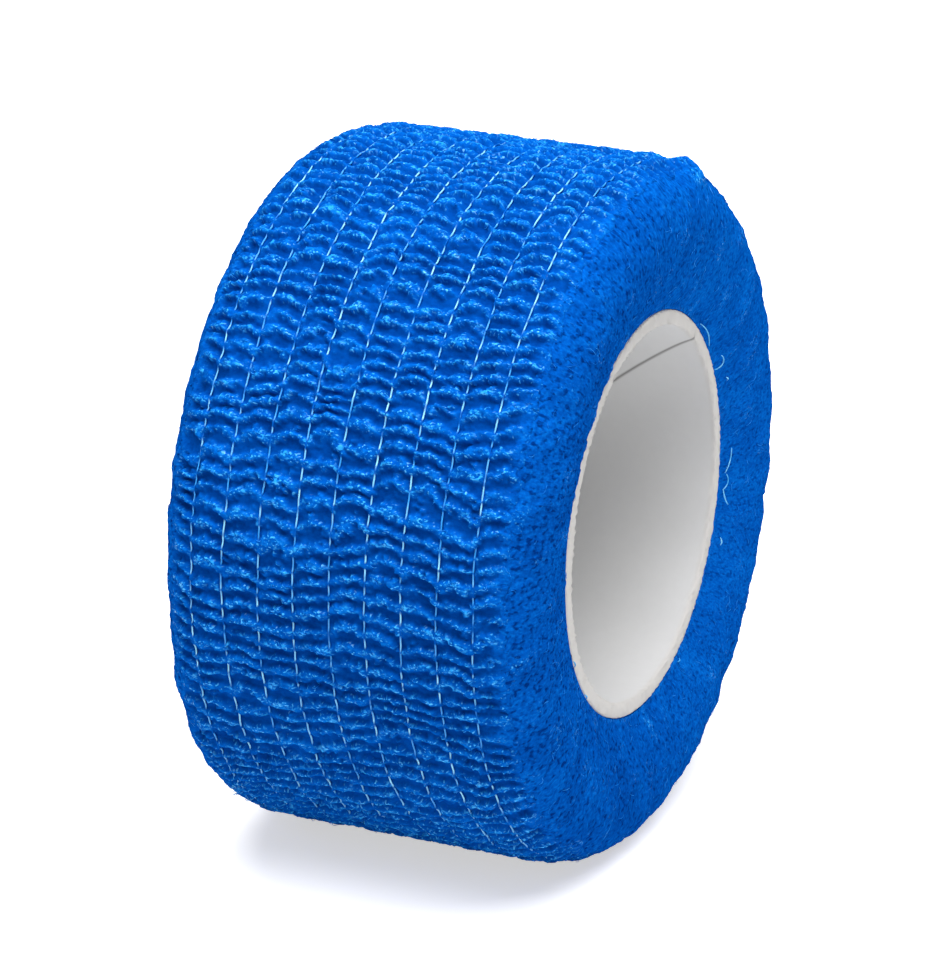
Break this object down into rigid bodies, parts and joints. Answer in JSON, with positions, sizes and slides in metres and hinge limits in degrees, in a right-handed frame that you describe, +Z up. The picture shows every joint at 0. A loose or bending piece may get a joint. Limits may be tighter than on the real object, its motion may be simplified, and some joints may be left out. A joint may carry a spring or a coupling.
{
  "type": "cohesive bandage roll",
  "caption": "Roll of blue crinkled cohesive bandage, elastic threads along its length, wound on an open paper core and lying on its side",
  "frame": {"origin": "on the surface that the roll lies on, under the middle of its box", "axes": "+Z up, the roll's axis along Y, the end that the picture shows at -Y"},
  "size_m": [0.0487, 0.0286, 0.0473],
  "materials": {
    "cohesive_cloth": "matt, crinkled nonwoven with pale elastic threads",
    "core_paper": "matt, spiral wound"
  },
  "bodies": {
    "root": {"bandage_roll": "cohesive_cloth", "core_tube": "core_paper"}
  },
  "joints": []
}
